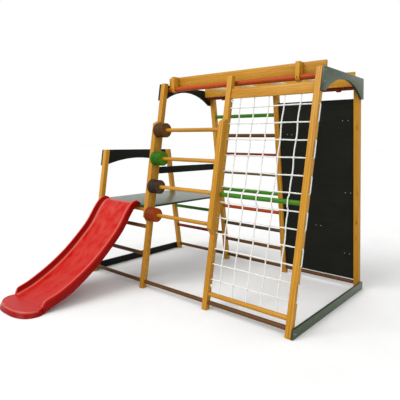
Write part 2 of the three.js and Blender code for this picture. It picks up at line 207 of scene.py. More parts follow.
def natural_wood(name):
    """Clear-lacquered pine, golden, with rings, streaks and a few small knots."""
    s = Shader(name)
    grain, rings, fibres, tone = wood_figure(s)
    figure = s.plus(s.times(rings, 0.22), s.times(fibres, 0.30))
    figure = s.plus(figure, s.times(tone, 0.24))
    figure = s.plus(figure, s.times(s.attribute("lot"), 0.24))
    ramp = s.node("ShaderNodeValToRGB", {"Fac": figure})
    stops = ramp.color_ramp.elements
    stops[0].position, stops[0].color = 0.15, rgba("9a6410")
    stops[1].position, stops[1].color = 0.88, rgba("eeb43e")
    stops.new(0.5).color = rgba("d2921e")
    color = ramp.outputs["Color"]
    cells = s.node("ShaderNodeTexVoronoi", {"Vector": s.stretched(grain, (6, 19, 19)), "Scale": 1.0})
    cell = s.node("ShaderNodeSeparateColor", {"Color": cells.outputs["Color"]}).outputs[0]
    chosen = s.spread(cell, 0.60, 0.62)  # only a few cells hold a knot
    knot = s.times(s.spread(cells.outputs["Distance"], 0.17, 0.07), chosen)
    core = s.times(s.spread(cells.outputs["Distance"], 0.10, 0.05), chosen)
    color = s.mix(s.times(knot, 0.55), color, rgba("98580f"))
    color = s.mix(s.times(core, 0.7), color, rgba("562c0a"))
    worn = s.times(s.attribute("edge"), s.noise(grain, 60, 3, 0.4, 0.75))
    color = s.mix(s.times(worn, 0.5), color, rgba("f0c266"))
    # above 1, lot paints a pale painted highlight: the monkey bars' lit undersides
    color = s.mix(s.spread(s.attribute("lot"), 1.0, GLINT_LOT), color, rgba("f8e0a8", 1.15))
    smooth = s.noise(grain, 22, 3)
    rough = s.plus(s.times(smooth, 0.14), s.times(fibres, 0.08))
    relief = s.plus(s.times(fibres, 0.6), s.times(rings, 0.4))
    s.surface(base_color=color, roughness=s.plus(rough, 0.36), normal=s.bump(relief, 0.14 * MM),
              specular_ior_level=0.15, coat_weight=0.06, coat_roughness=0.2)
    return s.material


def painted_wood(name, code, rough=0.36, wear=0.55, bare="b47a2a"):
    """Paint on turned or sawn wood: the grain telegraphs through, and it rubs thin on edges and grips."""
    s = Shader(name)
    grain, rings, fibres, tone = wood_figure(s)
    shade = s.mix(s.spread(tone, 0, 1, 0.25, 0.75), rgba(code, 0.80), rgba(code, 1.22))
    shade = s.mix(s.times(fibres, 0.22), shade, rgba(code, 0.55))
    patches = s.noise(grain, 38, 4, 0.52, 0.70)
    edge = s.times(s.attribute("edge"), s.noise(grain, 90, 3, 0.45, 0.6))
    rubbed = s.times(s.math("MAXIMUM", edge, s.times(patches, 0.22)), wear)
    color = s.mix(rubbed, shade, rgba(bare))
    # painted shade: the grooves between stacked discs are darkened
    color = s.mix(s.times(s.attribute("groove_shade"), 0.85), color, rgba(code, 0.25))
    relief = s.plus(s.times(fibres, 0.7), s.times(rings, 0.3))
    s.surface(base_color=color, normal=s.bump(relief, 0.08 * MM),
              roughness=s.plus(s.times(s.noise(grain, 26, 3), 0.16), rough - 0.06),
              specular_ior_level=0.08, coat_weight=0.04, coat_roughness=0.2)
    return s.material


def lacquered_board(name, code, rough=0.30):
    """Grey-green lacquer on a board: fine orange peel, dull scuffs, and dark edges."""
    s = Shader(name)
    grain = s.attribute("grain", "Vector")
    cloud = s.noise(grain, 5, 3)
    color = s.mix(s.spread(cloud, 0, 1, 0.2, 0.8), rgba(code, 0.88), rgba(code, 1.14))
    scuffs = s.noise(s.stretched(grain, (18, 160, 40)), detail=4, low=0.56, high=0.74)
    color = s.mix(s.times(scuffs, 0.30), color, rgba("9aa78c"))
    side = s.spread(s.attribute("face"), 0.4, 0.6)
    color = s.mix(s.times(side, 0.75), color, rgba("2f352a"))
    edge = s.times(s.attribute("edge"), s.noise(grain, 120, 3, 0.42, 0.62))
    color = s.mix(s.times(edge, 0.45), color, rgba("7d8272"))
    peel = s.noise(grain, 520, 2)
    relief = s.math("SUBTRACT", s.times(peel, 0.5), s.times(scuffs, 0.4))
    s.surface(base_color=color, normal=s.bump(relief, 0.06 * MM), specular_ior_level=0.15, coat_weight=0.1,
              coat_roughness=0.12, roughness=s.plus(s.times(scuffs, 0.25), rough))
    return s.material


def matt_black(name, code):
    """Matt black paint with wiped chalk dust."""
    s = Shader(name)
    grain = s.attribute("grain", "Vector")
    wiped = s.noise(s.stretched(grain, (3.0, 7.0, 5.0)), detail=4, low=0.42, high=0.78)
    streaks = s.noise(s.stretched(grain, (9, 46, 130)), detail=4, low=0.50, high=0.80)
    dust = s.times(s.plus(wiped, streaks), 0.5)
    color = s.mix(s.times(dust, 0.05), rgba(code), rgba("8f948f"))
    edge = s.times(s.attribute("edge"), s.noise(grain, 100, 3, 0.45, 0.65))
    color = s.mix(s.times(edge, 0.4), color, rgba("6a5a48"))
    s.surface(base_color=color, normal=s.bump(s.noise(grain, 900, 2), 0.05 * MM), specular_ior_level=0.08,
              roughness=s.plus(s.times(dust, 0.22), 0.52))
    return s.material


def rope_fibre(name):
    """White twisted rope: fine fibres along each strand, patches of grime, painted shade between the strands
    and a painted highlight on their crests.
    """
    s = Shader(name)
    grain = s.attribute("grain", "Vector")
    crest = s.attribute("crest")
    fibres = s.noise(s.stretched(grain, (260, 2600, 2600)), detail=3)
    # painted shade in the grooves between strands and a painted highlight on their crests
    color = s.mix(s.spread(crest, 0.0, 0.75), rgba("b9bab2"), rgba("fbfbf4", 1.45))
    color = s.mix(s.times(fibres, 0.30), color, rgba("cfcfc2"))
    color = s.mix(s.times(s.noise(grain, 7, 3, 0.45, 0.8), 0.25), color, rgba("c9c3ae"))
    s.surface(base_color=color, normal=s.bump(fibres, 0.25 * MM), sheen_weight=0.25, sheen_roughness=0.5,
              roughness=s.plus(s.times(fibres, 0.12), 0.80))
    return s.material


def moulded_plastic(name, code):
    """Glossy moulded plastic: blotchy and scuffed where children slide, with a painted reflection over the
    scuffs, and painted shade on its sides.
    """
    s = Shader(name)
    grain = s.attribute("grain", "Vector")
    cloud = s.noise(grain, 6, 2)
    color = s.mix(s.spread(cloud, 0, 1, 0.3, 0.7), rgba(code, 0.93), rgba(code, 1.07))
    ridden_and_sheen = s.attribute("ridden_and_sheen")
    scratch = s.noise(s.stretched(grain, (7, 420, 1)), detail=4, low=0.58, high=0.70)
    haze = s.noise(s.stretched(grain, (11, 17, 1)), detail=4, low=0.40, high=0.66)
    scuffs = s.plus(s.times(scratch, 0.25), s.times(haze, 0.75))
    # scuffs where children slide, lightened to pink, also serve as a painted reflection that is strongest
    # near the top
    rubbed = s.times(scuffs, ridden_and_sheen)
    color = s.mix(s.times(rubbed, 0.55), color, rgba("e06a58"))
    # painted shade: the outer sides, the inner wall band and the lip's sides are darkened to deep red
    side_shade = s.times(s.attribute("side_shade"), s.spread(cloud, 0, 1, 0.62, 0.85))
    color = s.mix(side_shade, color, rgba("8c0a06"))
    # ridges and the lip's top edge painted lighter: partly wear, partly painted highlight
    color = s.mix(s.times(s.attribute("edge"), 0.62), color, rgba("f28a78"))
    peel = s.noise(grain, 240, 2)
    lines = s.times(scratch, ridden_and_sheen)
    relief = s.math("SUBTRACT", s.times(peel, 0.35), s.times(lines, 0.5))
    s.surface(base_color=color, normal=s.bump(relief, 0.10 * MM), specular_ior_level=0.09,
              roughness=s.plus(s.times(rubbed, 0.22), 0.26))
    return s.material


def zinc(name):
    """Zinc-plated screw heads, slightly dulled."""
    s = Shader(name)
    grain = s.attribute("grain", "Vector")
    dull = s.noise(grain, 500, 3)
    color = s.mix(dull, rgba("dcdcd6"), rgba("a9aba8"))
    s.surface(base_color=color, metallic=0.85, normal=s.bump(dull, 0.03 * MM),
              roughness=s.plus(s.times(dull, 0.2), 0.28))
    return s.material


MATERIALS = {
    "natural_wood": natural_wood("lacquered_pine"),
    "dark_wood": painted_wood("dark_stain", "6a4520", wear=0.35),
    "green_paint": painted_wood("green_paint", "3f8c14"),
    "brown_paint": painted_wood("brown_paint", "70481f"),
    "red_paint": painted_wood("red_paint", "8a2410"),
    "olive_paint": painted_wood("olive_paint", "735c1c"),
    "orange_paint": painted_wood("orange_paint", "bc4c12", wear=0.35),
    "grey_paint": painted_wood("grey_paint", "4e4033"),
    "board_paint": lacquered_board("grey_green_lacquer", "4b5c44"),
    "black_paint": matt_black("matt_black", "1c1e18"),
    "white_rope": rope_fibre("white_rope"),
    "red_plastic": moulded_plastic("red_plastic", "d01104"),
    "zinc_steel": zinc("zinc"),
}


# ---- turning meshes into pieces
def new_mesh(name, points, faces):
    mesh = bpy.data.meshes.new(name)
    mesh.from_pydata([tuple(p) for p in points], [], faces)
    return mesh


def bmesh_of(points, faces):
    mesh = new_mesh("shape", points, faces)
    made = bmesh.new()
    made.from_mesh(mesh)
    bpy.data.meshes.remove(mesh)
    bmesh.ops.recalc_face_normals(made, faces=made.faces)
    return made


def round_edges(made, width, segments=3, over=30):
    """Rounds every edge that turns by more than that many degrees."""
    sharp = [e for e in made.edges if len(e.link_faces) == 2 and e.calc_face_angle(0) > math.radians(over)]
    bmesh.ops.bevel(made, geom=sharp, offset=width, segments=segments, profile=0.5, affect="EDGES")
    return made


def edge_wear(mesh):
    """How strongly the surface bends outwards at each vertex, 0..1, for worn edges."""
    made = bmesh.new()
    made.from_mesh(mesh)
    made.normal_update()
    wear = []
    for vertex in made.verts:
        bends = [e.calc_face_angle_signed(0) for e in vertex.link_edges if len(e.link_faces) == 2]
        wear.append(clamp((max(bends, default=0) - 0.30) / 0.2))
    made.free()
    return wear


def dress(name, mesh, slot, nodes=(), body="frame", along=X, up=Z, values=None, smooth=38,
          thick=None, lot=None):
    """Makes a mesh a piece: grain and wear attributes, the material of its slot, its body, and the CAD nodes
    it stands for hidden.

    values gives vertex attributes besides the usual ones, or in their place. thick is a board's axis,
    and marks its narrow sides.
    """
    chance = random.Random(name)
    piece = bpy.data.objects.new(name, mesh)
    link(piece)
    count = len(mesh.vertices)
    places = np.empty(count * 3)
    mesh.vertices.foreach_get("co", places)
    places = places.reshape(-1, 3)
    along = Vector(along).normalized()
    side = Vector(up).cross(along).normalized()
    axes = np.array([along, side, along.cross(side)])
    shift = np.array([chance.uniform(0, 9), chance.uniform(0.02, 0.06), chance.uniform(-0.06, -0.02)])
    centre = places.mean(0)
    data = {"grain": (places - centre) @ axes.T + shift, "edge": edge_wear(mesh)}
    data["lot"] = [chance.uniform(0.2, 0.8) if lot is None else lot] * count  # how pale the timber is, and above 1 a painted highlight
    data.update(values or {})
    if thick is not None:
        normals = np.empty(count * 3)
        mesh.vertices.foreach_get("normal", normals)
        data["face"] = 1 - np.abs(normals.reshape(-1, 3) @ np.array(thick))
    for key, value in data.items():
        vector = np.ndim(value) == 2
        layer = mesh.attributes.new(key, "FLOAT_VECTOR" if vector else "FLOAT", "POINT")
        layer.data.foreach_set("vector" if vector else "value", np.asarray(value, float).ravel())
    mesh.materials.clear()
    mesh.materials.append(MATERIALS[slot])
    mesh.shade_smooth()
    mesh.set_sharp_from_angle(angle=math.radians(smooth))
    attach(piece, body)
    if nodes:
        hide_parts(*nodes)


def dress_node(node, ending, mesh, **looks):
    """Makes a mesh the piece that stands for one CAD node of the frame."""
    dress(f"{node}_{ending}", mesh, SLOT_OF[node], [node], **looks)


def to_mesh(made):
    mesh = bpy.data.meshes.new("piece")
    bmesh.ops.recalc_face_normals(made, faces=made.faces)
    made.to_mesh(mesh)
    made.free()
    return mesh


def joined(bodies):
    """One bmesh that holds several."""
    whole = bmesh.new()
    for made in bodies:
        mesh = bpy.data.meshes.new("part")
        made.to_mesh(mesh)
        made.free()
        whole.from_mesh(mesh)
        bpy.data.meshes.remove(mesh)
    return whole


def cut(made, cutters):
    """The body less all cutters, as a mesh."""
    blank = bpy.data.objects.new("blank", to_mesh(made))
    tool = bpy.data.objects.new("tool", to_mesh(joined(cutters)))
    for thing in (blank, tool):
        link(thing)
    modifier = blank.modifiers.new("cut", "BOOLEAN")
    modifier.operation, modifier.solver, modifier.object = "DIFFERENCE", "EXACT", tool
    graph = bpy.context.evaluated_depsgraph_get()
    result = bpy.data.meshes.new_from_object(blank.evaluated_get(graph))
    for thing in (blank, tool):
        old = thing.data
        bpy.data.objects.remove(thing)
        bpy.data.meshes.remove(old)
    return result


# ---- shapes
def in_yz(y, z, x):
    return (x, y, z)


def in_xy(x, y, z):
    return (x, y, z)


def prism(outline, low, high, width, segments=3, place=in_yz):
    """An outline of (a, b) points, extruded from low to high; place turns (a, b, depth) into a point."""
    count = len(outline)
    points = [place(a, b, depth) for depth in (low, high) for a, b in outline]
    faces = [list(range(count)), list(range(2 * count - 1, count - 1, -1))]
    faces += [(i, (i + 1) % count, count + (i + 1) % count, count + i) for i in range(count)]
    return round_edges(bmesh_of(points, faces), width, segments)


def turned(profile, base, axis, sides=48, closed=False):
    """Turns a profile of (distance along axis, radius) round the axis through base."""
    axis = Vector(axis).normalized()
    across = axis.orthogonal().normalized()
    other = axis.cross(across)
    points, faces, rings = [], [], []
    for distance, radius in profile:
        centre = Vector(base) + axis * distance
        if radius < 1e-7:
            rings.append([len(points)])
            points.append(centre)
            continue
        rings.append(list(range(len(points), len(points) + sides)))
        for k in range(sides):
            turn = 2 * math.pi * k / sides
            points.append(centre + (across * math.cos(turn) + other * math.sin(turn)) * radius)
    pairs = list(zip(rings, rings[1:])) + ([(rings[-1], rings[0])] if closed else [])
    for a, b in pairs:
        for k in range(sides):
            n = (k + 1) % sides
            if len(a) == 1:
                faces.append((a[0], b[k], b[n]))
            elif len(b) == 1:
                faces.append((a[k], a[n], b[0]))
            else:
                faces.append((a[k], a[n], b[n], b[k]))
    return bmesh_of(points, faces)


def round_bar(start, end, radius, sides=40, soft=2.0 * MM):
    """A dowel with softened ends, in short lengths so that its attributes vary along it."""
    axis = Vector(end) - Vector(start)
    length = axis.length
    profile = [(0, 0), (0, radius - soft), (soft * 0.3, radius - soft * 0.3), (soft, radius)]
    steps = max(2, round(length / 0.1))
    profile += [(soft + (length - 2 * soft) * k / steps, radius) for k in range(1, steps)]
    profile += [(length - soft, radius), (length - soft * 0.3, radius - soft * 0.3),
                (length, radius - soft), (length, 0)]
    return turned(profile, start, axis, sides)


def hole(start, end, radius, sides=32):
    """A plain cylinder to cut with."""
    axis = Vector(end) - Vector(start)
    return turned([(0, 0), (0, radius), (axis.length, radius), (axis.length, 0)], start, axis, sides)


def bar_ends(node):
    """Two end points and the radius of a CAD bar that lies along X or Y."""
    low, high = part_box(node)
    centre = (low + high) / 2
    axis = 0 if high.x - low.x > high.y - low.y else 1
    start, end = centre.copy(), centre.copy()
    start[axis], end[axis] = low[axis], high[axis]
    return start, end, (high.z - low.z) / 2


SOCKET_GAP = 0.3 * MM


def socket(bar):
    """A cutter for the hole that holds a CAD bar."""
    start, end, radius = bar_ends(bar)
    gap = (end - start).normalized() * SOCKET_GAP
    return hole(start - gap, end + gap, radius + SOCKET_GAP)


# ---- round bars
BARS = [f"base_bar_{side}_{i}" for side in ("front", "back") for i in (1, 2, 3)]
BARS += [f"tower_rung_{side}_{i}" for side in ("front", "back") for i in (1, 2)]
BARS += ["platform_rail_front", "platform_rail_back", "climbing_bar", "net_rail_bottom"]
BARS += [f"ladder_rung_{i}" for i in range(1, 9)]
MONKEY_BARS = [f"monkey_bar_{i}" for i in range(1, 5)]
RODS = [f"abacus_rod_{i}" for i in range(1, 5)]
HANGING_BARS = ["hanging_bar_front", "hanging_bar_back"]

for node in BARS + MONKEY_BARS + RODS + HANGING_BARS:
    start, end, radius = bar_ends(node)
    mesh = to_mesh(round_bar(start, end, radius))
    # the monkey bars are painted pale as a painted highlight on their lit undersides
    lot = GLINT_LOT if node in MONKEY_BARS else None
    dress_node(node, "turned", mesh, along=end - start, lot=lot)


# ---- posts
NET_TOP_ROW, NET_ROW_PITCH, NET_ROWS = 1.268, 0.0975, 12
KNOT_HEIGHTS = (1.312, 0.156)  # the knotted ends of the net's rope, beside post_front_3
ROPE_HOLE = 6.0 * MM


def row_height(row):
    return NET_TOP_ROW - NET_ROW_PITCH * row


def post_mesh(node):
    low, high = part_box(node)
    side = FRONT if "front" in node else BACK
    centre_x = (low.x + high.x) / 2
    body = prism(leaning_strip(side, low.z, high.z, POST_HALF_Y), low.x, high.x, 3.5 * MM, 4)
    cutters = []
    for bar in BARS:
        start, end, radius = bar_ends(bar)
        inside = abs(start.y - leaning_y(side, start.z)) < POST_HALF and start.z < high.z
        if inside and min(abs(start.x - centre_x), abs(end.x - centre_x)) < POST_HALF:
            cutters.append(socket(bar))
    if node in ("post_front_3", "post_front_4"):
        for row in range(NET_ROWS):
            z = row_height(row)
            y = leaning_y(FRONT, z)
            tied = row in (0, NET_ROWS - 1) and node == "post_front_3"
            start = centre_x if tied else low.x - 1 * MM
            cutters.append(hole((start, y, z), (high.x + 1 * MM, y, z), ROPE_HOLE))
    for z in KNOT_HEIGHTS if node == "post_front_3" else ():
        y = leaning_y(FRONT, z)
        cutters.append(hole((centre_x, y, z), (high.x + 1 * MM, y, z), ROPE_HOLE))
    return cut(body, cutters)


for side, word in ((FRONT, "front"), (BACK, "back")):
    for index in range(1, 5):
        node = f"post_{word}_{index}"
        dress_node(node, "sawn", post_mesh(node), along=(0, -side * LEAN, 1), up=X)


# ---- boards
def arc_outline(node):
    """The outline of an arch board, read from its CAD solid's outer corners and the crown of its arc."""
    low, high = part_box(node)
    points = [v.co for v in frame["nodes"][node].data.vertices]
    leg_inner = min(abs(p.y - MID_Y) for p in points if p.z < low.z + 0.5 * MM)
    crown = min(p.z for p in points if abs(p.y - MID_Y) < 20 * MM)
    rise = crown - low.z
    radius = (leg_inner**2 + rise**2) / (2 * rise)
    swing = math.asin(leg_inner / radius)
    outer = {z: reach(z) + POST_HALF_Y for z in (low.z, high.z)}
    outline = [(MID_Y - outer[high.z], high.z), (MID_Y - outer[low.z], low.z)]
    for k in range(41):
        turn = -swing + 2 * swing * k / 40
        outline.append((MID_Y + radius * math.sin(turn), crown - radius + radius * math.cos(turn)))
    return outline + [(MID_Y + outer[low.z], low.z), (MID_Y + outer[high.z], high.z)]


for node in ("tower_arch_board", "left_arch_board", "right_arch_board"):
    low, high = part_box(node)
    mesh = to_mesh(prism(arc_outline(node), low.x, high.x, 2 * MM))
    dress_node(node, "cut", mesh, along=Y, up=Z, thick=X)

for node in ("floor_tie_left", "floor_tie_right", "guard_board"):
    low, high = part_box(node)
    outline = []
    for side, z in ((FRONT, low.z), (BACK, low.z), (BACK, high.z), (FRONT, high.z)):
        outline.append((leaning_y(side, z, POST_HALF_Y), z))
    mesh = to_mesh(prism(outline, low.x, high.x, 2 * MM))
    dress_node(node, "cut", mesh, along=Y, up=Z, thick=X)


def leaning_board(node, side, thickness, width):
    low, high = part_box(node)
    return prism(leaning_strip(side, low.z, high.z, thickness / 2), low.x, high.x, width)


CHALK_T = 12 * MM
NET_RAIL_T = 22 * MM
mesh = to_mesh(leaning_board("chalk_board", BACK, CHALK_T, 1.5 * MM))
dress_node("chalk_board", "painted", mesh, up=(0, LEAN, 1))
mesh = to_mesh(leaning_board("net_rail_top", FRONT, NET_RAIL_T, 4 * MM))
dress_node("net_rail_top", "sawn", mesh)

NOTCH_GAP = 0.6 * MM
# The platform has a notch at each corner for a post.
low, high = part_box("platform")
left_in, right_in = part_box("post_front_1")[1].x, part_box("post_front_2")[0].x
notch = reach(high.z) - POST_HALF_Y - NOTCH_GAP
edge = high.y - MID_Y
outline = []
for a, b in ((right_in, -edge), (right_in, -notch), (high.x, -notch), (high.x, notch), (right_in, notch),
             (right_in, edge), (left_in, edge), (left_in, notch), (low.x, notch), (low.x, -notch),
             (left_in, -notch), (left_in, -edge)):
    outline.append((a, MID_Y + b))
mesh = to_mesh(prism(outline, low.z, high.z, 1.5 * MM, place=in_xy))
dress_node("platform", "cut", mesh, thick=Z)

# ---- top beams and their brackets
BEAM_T = 20 * MM
BEAM_HEIGHT = 88 * MM
BRACKET_WIDTH = 26 * MM
BRACKET_ROUND = 24.5 * MM
BRACKET_X = {"front": (-0.236, 0.750), "back": (-0.150, 0.795)}
BEAM_FACE = 0.205  # a beam's outer face, from the middle of the A-frames


def bracket(x, side, bar_y, bar_z, face_y, top):
    """A cleat on a beam's outer face, whose round lower end holds the hanging bar."""
    arm = abs(bar_y - face_y)
    outline = [(0.4 * MM, top), (0.4 * MM, bar_z - 12 * MM)]
    for k in range(15):
        turn = math.radians(233 + (360 - 233) * k / 14)
        outline.append((arm + BRACKET_ROUND * math.cos(turn), bar_z + BRACKET_ROUND * math.sin(turn)))
    outline.append((arm + BRACKET_ROUND, top))
    place = lambda a, b, depth: (depth, face_y + side * a, b)
    body = prism(outline, x - BRACKET_WIDTH / 2, x + BRACKET_WIDTH / 2, 2.5 * MM, place=place)
    reach_x = X * BRACKET_WIDTH
    centre = Vector((x, bar_y, bar_z))
    return cut(body, [hole(centre - reach_x, centre + reach_x, radius=17.1 * MM)])


for side, word in ((FRONT, "front"), (BACK, "back")):
    node = f"top_beam_{word}"
    low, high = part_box(node)
    bar_start = bar_ends(f"hanging_bar_{word}")[0]
    face_y = MID_Y + side * BEAM_FACE
    ys = sorted((face_y, face_y - side * BEAM_T))
    outline = [(ys[0], high.z - BEAM_HEIGHT), (ys[1], high.z - BEAM_HEIGHT), (ys[1], high.z), (ys[0], high.z)]
    body = prism(outline, low.x, high.x, 3 * MM)
    dress_node(node, "sawn", cut(body, [socket(bar) for bar in MONKEY_BARS]))
    for i, x in enumerate(BRACKET_X[word], 1):
        mesh = bracket(x, side, bar_start.y, bar_start.z, face_y, high.z)
        # the back brackets take the back hanging bar's dark red paint as painted shade, as they stand in
        # shade under the back beam
        bracket_paint_with_back_shade = "natural_wood" if side == FRONT else SLOT_OF["hanging_bar_back"]
        dress(f"bracket_{word}_{i}", mesh, bracket_paint_with_back_shade, along=Z, up=X)
        plug = turned([(0, 0), (0.9 * MM, 3.5 * MM), (0.6 * MM, 5 * MM), (-1 * MM, 5 * MM), (-1 * MM, 0)],
                      (x, bar_start.y + side * (BRACKET_ROUND - 0.3 * MM), bar_start.z), (0, side, 0), 24)
        dress(f"bracket_plug_{word}_{i}", to_mesh(plug), "dark_wood", along=Y, up=Z)

# ---- abacus
CHEEK_IN = POST_HALF_Y + 0.3 * MM
CHEEK_OUT = CHEEK_IN + POST * math.hypot(1, LEAN)
CHEEK_SLANT = {"low": 44 * MM, "high": 18 * MM}  # how far each end is cut back on the outer face
for index in (1, 2):
    node = f"abacus_cheek_{index}"
    low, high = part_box(node)
    outline = [(leaning_y(FRONT, z, out), z) for z, out in (
        (low.z, CHEEK_IN), (high.z, CHEEK_IN), (high.z - CHEEK_SLANT["high"], CHEEK_OUT),
        (low.z + CHEEK_SLANT["low"], CHEEK_OUT))]
    body = prism(outline, low.x, high.x, 3.5 * MM, 4)
    dress_node(node, "sawn", cut(body, [socket(rod) for rod in RODS]), along=(0, LEAN, 1), up=X)

DISCS = 7
DISC_BORE = 13.8 * MM  # radius
DISC_GAP = 1.8 * MM  # between two rims
DISC_LEAN = math.radians(0.4)
for index in range(1, 5):
    node = f"disc_stack_{index}"
    low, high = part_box(node)
    centre = (low + high) / 2
    outer = (high.z - low.z) / 2
    pitch = (high.x - low.x) / DISCS
    thick = pitch - DISC_GAP
    rim = thick / 2
    chance = random.Random(node)
    discs = []
    for k in range(DISCS):
        size = outer - chance.uniform(0, 1.6) * MM
        turns = [math.radians(15 * step) for step in range(13)]
        profile = [(rim - rim * math.cos(t), size - rim + rim * math.sin(t)) for t in turns]
        profile = [(0, DISC_BORE)] + profile + [(thick, DISC_BORE)]
        base = Vector((low.x + DISC_GAP / 2 + k * pitch, centre.y, centre.z))
        disc = turned(profile, base, X, 56, closed=True)
        tilt = Matrix.Rotation(chance.uniform(-DISC_LEAN, DISC_LEAN), 4, "Y")
        tilt @= Matrix.Rotation(chance.uniform(-DISC_LEAN, DISC_LEAN), 4, "Z")
        core = base + X * rim
        tilt = Matrix.Translation(core) @ tilt @ Matrix.Translation(-core)
        bmesh.ops.transform(disc, matrix=tilt, verts=disc.verts)
        discs.append(disc)
    mesh = to_mesh(joined(discs))
    # painted shade in the gaps between the discs, full at 3.5 mm below the rims and none on the stack's two
    # ends
    groove_shades = []
    for vertex in mesh.vertices:
        from_axis = math.hypot(vertex.co.y - centre.y, vertex.co.z - centre.z)
        on_end = min(vertex.co.x - low.x, high.x - vertex.co.x) < 1.5 * MM
        groove_shades.append(0.0 if on_end else clamp((outer - from_axis) / (3.5 * MM)))
    dress(f"discs_{index}_turned", mesh, SLOT_OF[node], [node], body=f"discs_{index}", along=Z, up=X,
          values={"groove_shade": groove_shades})

# ---- rope net
ROPE_RADIUS = 4.5 * MM
ROPE_LAY = 30 * MM  # length of one turn of a strand
STRANDS = 3
ROPE_SIDES = 12
NET_COLUMNS_X = [0.393 + 0.1025 * k for k in range(5)]
LOOP_OUT = POST_HALF + 0.3 * MM + ROPE_RADIUS  # a loop's centre from the post's centre
PLANE_UP = Vector((0, LEAN, 1)).normalized()  # up the leaning front
PLANE_OUT = Vector((0, -1, LEAN)).normalized()  # out of it, towards the climber


def rounded_path(corners, cut_back, step):
    """Points at even steps along a path whose corners are rounded."""
    path = [Vector(corners[0])]
    for before, corner, after in zip(corners, corners[1:], corners[2:]):
        before, corner, after = Vector(before), Vector(corner), Vector(after)
        enter = corner + (before - corner).normalized() * cut_back
        leave = corner + (after - corner).normalized() * cut_back
        for k in range(7):
            t = k / 6
            path.append(enter * (1 - t) ** 2 + corner * (2 * t * (1 - t)) + leave * t**2)
    path.append(Vector(corners[-1]))
    return even_path(path, step)


def even_path(path, step):
    points = np.array([tuple(p) for p in path])
    lengths = np.concatenate([[0], np.cumsum(np.linalg.norm(np.diff(points, axis=0), axis=1))])
    count = max(4, round(lengths[-1] / step))
    at = np.linspace(0, lengths[-1], count + 1)
    return np.stack([np.interp(at, lengths, points[:, k]) for k in range(3)], 1)


def rope(path, radius, lay=ROPE_LAY, closed=False, sides=ROPE_SIDES):
    """A three-strand rope along a path: (points, faces, crest, grain)."""
    path = np.array([tuple(p) for p in path])
    count = len(path)
    tangents = np.roll(path, -1, 0) - np.roll(path, 1, 0) if closed else np.gradient(path, axis=0)
    tangents /= np.linalg.norm(tangents, axis=1)[:, None]
    across = np.cross(tangents[0], (0.3, 0.5, 0.81))
    points, crest, grain = [], [], []
    travelled = 0.0
    for k in range(count):
        across = across - tangents[k] * (across @ tangents[k])
        across /= np.linalg.norm(across)
        other = np.cross(tangents[k], across)
        if k:
            travelled += np.linalg.norm(path[k] - path[k - 1])
        for j in range(sides):
            round_turn = 2 * math.pi * j / sides
            twist = round_turn + 2 * math.pi * travelled / lay
            lobe = abs(math.cos(STRANDS * round_turn / 2))
            size = radius * (0.70 + 0.30 * lobe**0.8)
            points.append(path[k] + (across * math.cos(twist) + other * math.sin(twist)) * size)
            crest.append(lobe)
            grain.append((travelled, 0.004 * round_turn, 0.0))
    faces = []
    for k in range(count if closed else count - 1):
        a, b = k * sides, ((k + 1) % count) * sides
        faces += [(a + j, a + (j + 1) % sides, b + (j + 1) % sides, b + j) for j in range(sides)]
    if not closed:
        faces += [tuple(range(sides - 1, -1, -1)), tuple(range((count - 1) * sides, count * sides))]
    return points, faces, crest, grain


def rope_piece(name, ropes, nodes=()):
    """One piece from several ropes."""
    points, faces, crest, grain = [], [], [], []
    for number, (p, f, c, g) in enumerate(ropes):
        faces += [tuple(i + len(points) for i in face) for face in f]
        points += p
        crest += c
        grain += [(a + number * 1.7, b, number * 0.31) for a, b, _ in g]
    mesh = new_mesh(name, points, faces)
    mesh.validate()
    dress(name, mesh, "white_rope", nodes, values={"crest": crest, "grain": np.array(grain)}, smooth=75)


def net_point(x, z):
    return Vector((x, leaning_y(FRONT, z), z))


net_left, net_right = middle("post_front_3").x, middle("post_front_4").x
chance = random.Random("net")
tied_x = net_left + 6 * MM  # both tied ends stop inside post_front_3
corners = [net_point(tied_x, row_height(0))]
for row in range(NET_ROWS):
    z = row_height(row)
    ends = [net_left - LOOP_OUT, net_right + LOOP_OUT]
    if row % 2:
        ends.reverse()
    if row:
        corners.append(net_point(ends[0], z))
    for x in NET_COLUMNS_X[::-1] if row % 2 else NET_COLUMNS_X:
        corners.append(net_point(x, z + chance.uniform(-2.2, 2.2) * MM))
    corners.append(net_point(ends[1] if row < NET_ROWS - 1 else tied_x, z))
lacing = rope(rounded_path(corners, 8 * MM, 4 * MM), ROPE_RADIUS)


def sway(x, z):
    """A column wanders to one side at a row and to the other at the next."""
    row = (NET_TOP_ROW - z) / NET_ROW_PITCH
    return 2.4 * MM * math.cos(math.pi * row + 9 * x) + 1.2 * MM * math.sin(5 * z + 7 * x)


climb = middle("climbing_bar")
climb_radius = bar_ends("climbing_bar")[2]
OVER_BAR = climb_radius + ROPE_RADIUS + 0.6 * MM
column_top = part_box("net_rail_top")[0].z + 16 * MM
column_end = middle("net_rail_bottom").z - 4 * MM
columns = []
for x in NET_COLUMNS_X:
    path = []
    for z in np.linspace(column_top, column_end, 260):
        near = max(0.0, 1 - abs(z - climb.z) / (50 * MM))
        bulge = OVER_BAR * min(1.0, near * 1.5) ** 2 * (3 - 2 * min(1.0, near * 1.5))
        path.append(net_point(x + sway(x, z), z) - Y * bulge)
    columns.append(rope(even_path(path, 4 * MM), ROPE_RADIUS))
rope_piece("rope_net_twisted", [lacing] + columns, ["rope_net"])

